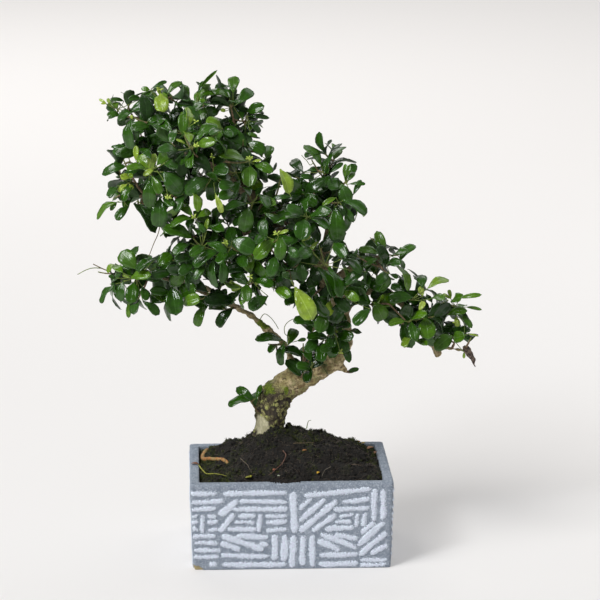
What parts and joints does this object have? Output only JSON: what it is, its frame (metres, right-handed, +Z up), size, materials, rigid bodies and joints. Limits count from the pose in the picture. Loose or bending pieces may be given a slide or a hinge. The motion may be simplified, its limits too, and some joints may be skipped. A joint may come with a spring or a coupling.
{
  "type": "fukien tea bonsai",
  "caption": "Potted bonsai tree: a trunk that leans and turns back, with small glossy leaves in sprays, in a rectangular pot with raised strokes.",
  "frame": {"origin": "centre of the pot's flat underside", "axes": "+Z up, +X along the pot's long side to the right of its front, -Y out of its front"},
  "size_m": [0.3774, 0.1955, 0.4575],
  "materials": {
    "cast_pot": "matt grey cast cement with white rubbed over raised strokes",
    "potting_soil": "dark crumbly moist soil with moss and fine roots",
    "pale_root": "orange-brown smooth root",
    "bark": "rough tan and grey-brown bark with moss and lichen",
    "leaf": "glossy dark green leaf on a thin brown twig",
    "dry_leaf": "dry curled brown leaf"
  },
  "bodies": {
    "root": {"pot": "cast_pot", "soil": "potting_soil", "surface_root": "pale_root", "trunk_and_limbs": "bark", "spray_crown_1": "leaf", "spray_crown_2": "leaf", "spray_crown_3": "leaf", "spray_crown_4": "leaf", "spray_crown_5": "leaf", "spray_crown_6": "leaf", "spray_crown_7": "leaf", "spray_crown_8": "leaf", "spray_crown_9": "leaf", "spray_crown_10": "leaf", "spray_crown_11": "leaf", "spray_crown_12": "leaf", "spray_crown_13": "leaf", "spray_crown_14": "leaf", "spray_crown_15": "leaf", "spray_middle_1": "leaf", "spray_middle_2": "leaf", "spray_middle_3": "leaf", "spray_middle_4": "leaf", "spray_middle_5": "leaf", "spray_middle_6": "leaf", "spray_middle_7": "leaf", "spray_middle_8": "leaf", "spray_middle_9": "leaf", "spray_middle_10": "leaf", "spray_middle_11": "leaf", "spray_middle_12": "leaf", "spray_middle_13": "leaf", "spray_middle_14": "leaf", "spray_lobe_1": "leaf", "spray_lobe_2": "leaf", "spray_lobe_3": "leaf", "spray_lobe_4": "leaf", "spray_lobe_5": "leaf", "spray_shoulder_1": "leaf", "spray_shoulder_2": "leaf", "spray_shoulder_3": "leaf", "spray_right_1": "leaf", "spray_right_2": "leaf", "spray_right_3": "leaf", "spray_right_4": "leaf", "spray_right_5": "leaf", "spray_right_6": "leaf", "spray_left_1": "leaf", "spray_left_2": "leaf", "spray_left_3": "leaf", "spray_left_4": "leaf", "spray_left_5": "leaf", "spray_low_1": "leaf", "spray_low_2": "leaf", "spray_low_3": "leaf", "spray_low_4": "leaf", "spray_low_5": "leaf", "spray_low_6": "leaf", "withered_leaf": "dry_leaf"}
  },
  "joints": []
}
